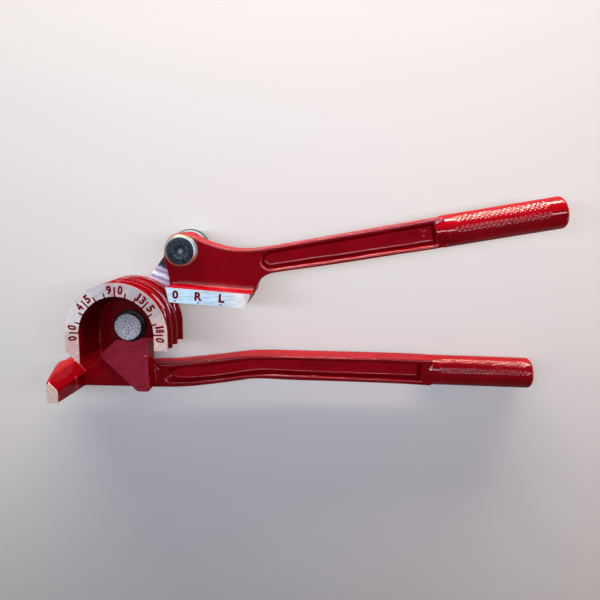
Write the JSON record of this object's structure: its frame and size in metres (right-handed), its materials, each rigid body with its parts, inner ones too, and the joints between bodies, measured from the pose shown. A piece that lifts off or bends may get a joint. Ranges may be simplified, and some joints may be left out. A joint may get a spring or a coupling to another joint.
{
  "type": "manual tube bender",
  "caption": "Hand tube bender in red cast aluminium: a grooved half-round former on a fixed handle, a hook, a swinging link and a forming handle with a grooved shoe.",
  "frame": {"origin": "on the former's pivot axis, at the tail face of the former pin, which lies on the plane the tool rests on", "axes": "+Z along the former axis towards the scale face, +X along the fixed handle towards its grip, +Y across the tool from the fixed handle towards the forming handle"},
  "size_m": [0.3156, 0.1263, 0.0527],
  "materials": {
    "red_paint": "gloss red paint over cast aluminium",
    "pin_steel": "bare turned steel",
    "dark_washer": "black acetal",
    "zinc_washer": "zinc plated steel",
    "spring_steel": "oiled spring steel",
    "zinc_nut": "zinc plated steel",
    "nylon_insert": "nylon",
    "link_zinc": "bright zinc plated steel plate",
    "bolt_black": "blued steel with a bare bevel",
    "bronze": "sintered bronze"
  },
  "bodies": {
    "fixed_side": {"lower_casting": "red_paint", "former_pin": "pin_steel", "former_head_washer": "dark_washer", "former_thrust_washer": "zinc_washer", "former_rear_washer": "zinc_washer", "former_spring_washer": "spring_steel", "former_nut": "zinc_nut", "former_nut_insert": "nylon_insert"},
    "link": {"link_plate": "link_zinc", "handle_pin": "bolt_black", "handle_thrust_washer": "zinc_washer", "handle_rear_washer": "zinc_washer", "handle_spring_washer": "spring_steel", "handle_nut": "zinc_nut", "handle_nut_insert": "nylon_insert"},
    "forming_handle": {"upper_casting": "red_paint", "handle_bush": "bronze"}
  },
  "joints": [
    {"name": "link_swing", "type": "hinge", "parent": "fixed_side", "child": "link", "pos_m": [0, 0, 0.0167], "axis": [0, 0, 1], "range_deg": [-55.5, 126.5]},
    {"name": "handle_pivot", "type": "hinge", "parent": "link", "child": "forming_handle", "pos_m": [0.03527, 0.04767, 0.0287], "axis": [0, 0, 1], "range_deg": [-32.65, 57.35]}
  ]
}
